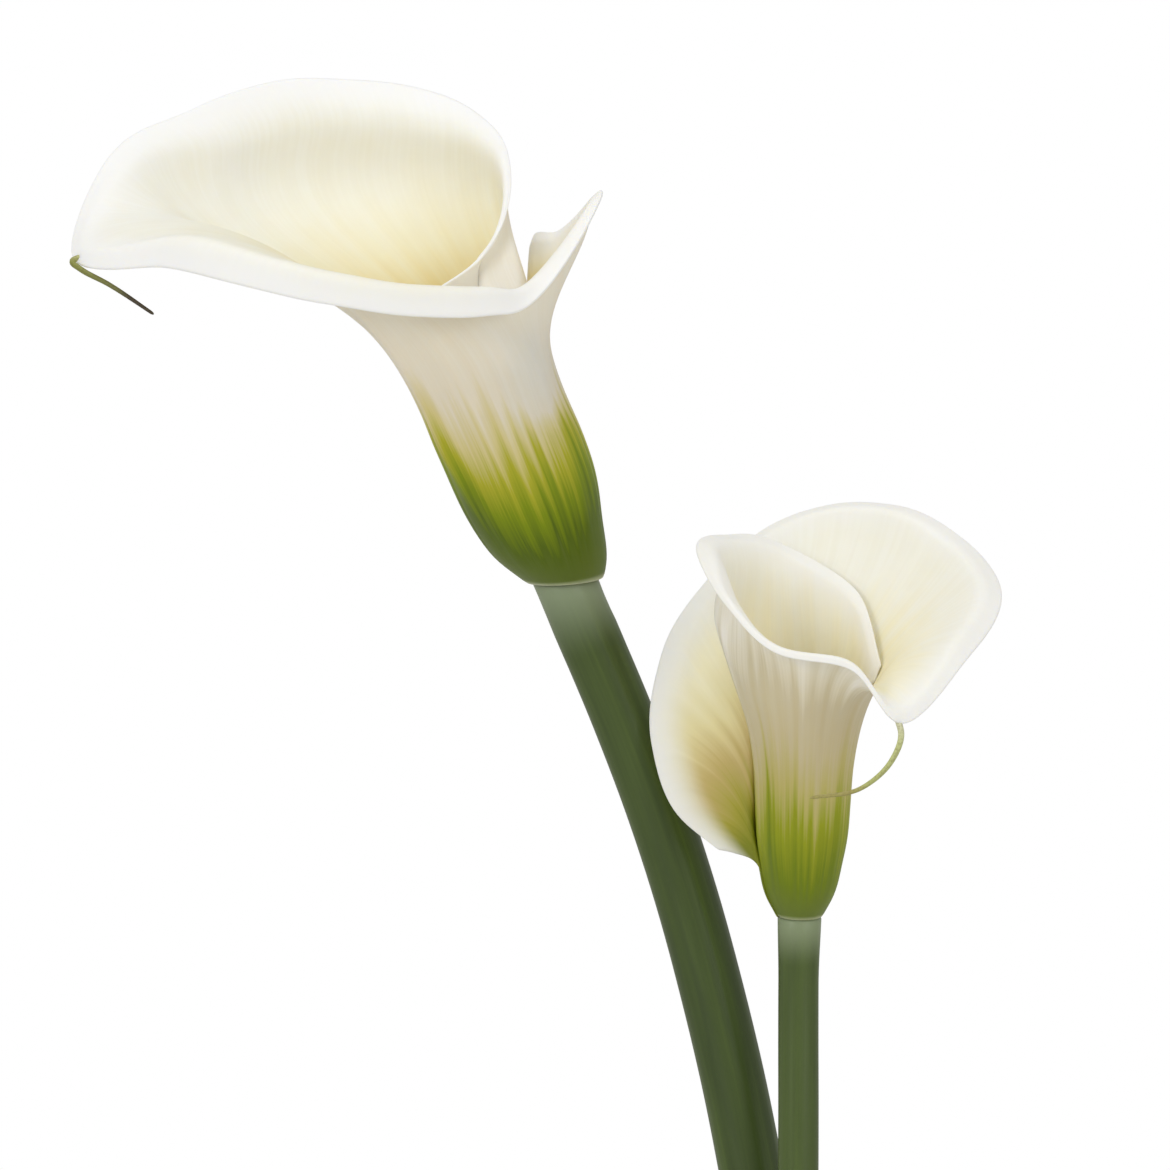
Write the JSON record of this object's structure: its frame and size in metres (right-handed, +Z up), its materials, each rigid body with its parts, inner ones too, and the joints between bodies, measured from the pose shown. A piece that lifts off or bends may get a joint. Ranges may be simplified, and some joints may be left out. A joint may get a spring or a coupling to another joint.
{
  "type": "calla lilies in a vase",
  "caption": "White calla lilies, each a rolled spathe with a tail on a thick green stem, leaning in a plain glazed vase with a round mouth and a flat base.",
  "frame": {"origin": "the middle of the vase's flat underside", "axes": "+Z up along the vase's axis, which is also the longest extent; -Y towards the front, where the flowers' mouths face; the large flower leans towards -X"},
  "size_m": [0.2445, 0.12, 0.526],
  "materials": {
    "vase_glaze": "gloss",
    "large_stem_green": "satin",
    "small_stem_green": "satin",
    "large_spathe_white": "satin",
    "small_spathe_white": "satin",
    "spadix_yellow": "matte"
  },
  "bodies": {
    "root": {"vase": "vase_glaze", "large_stem": "large_stem_green", "large_spathe": "large_spathe_white", "large_spadix": "spadix_yellow", "small_stem": "small_stem_green", "small_spathe": "small_spathe_white", "small_spadix": "spadix_yellow"}
  },
  "joints": []
}
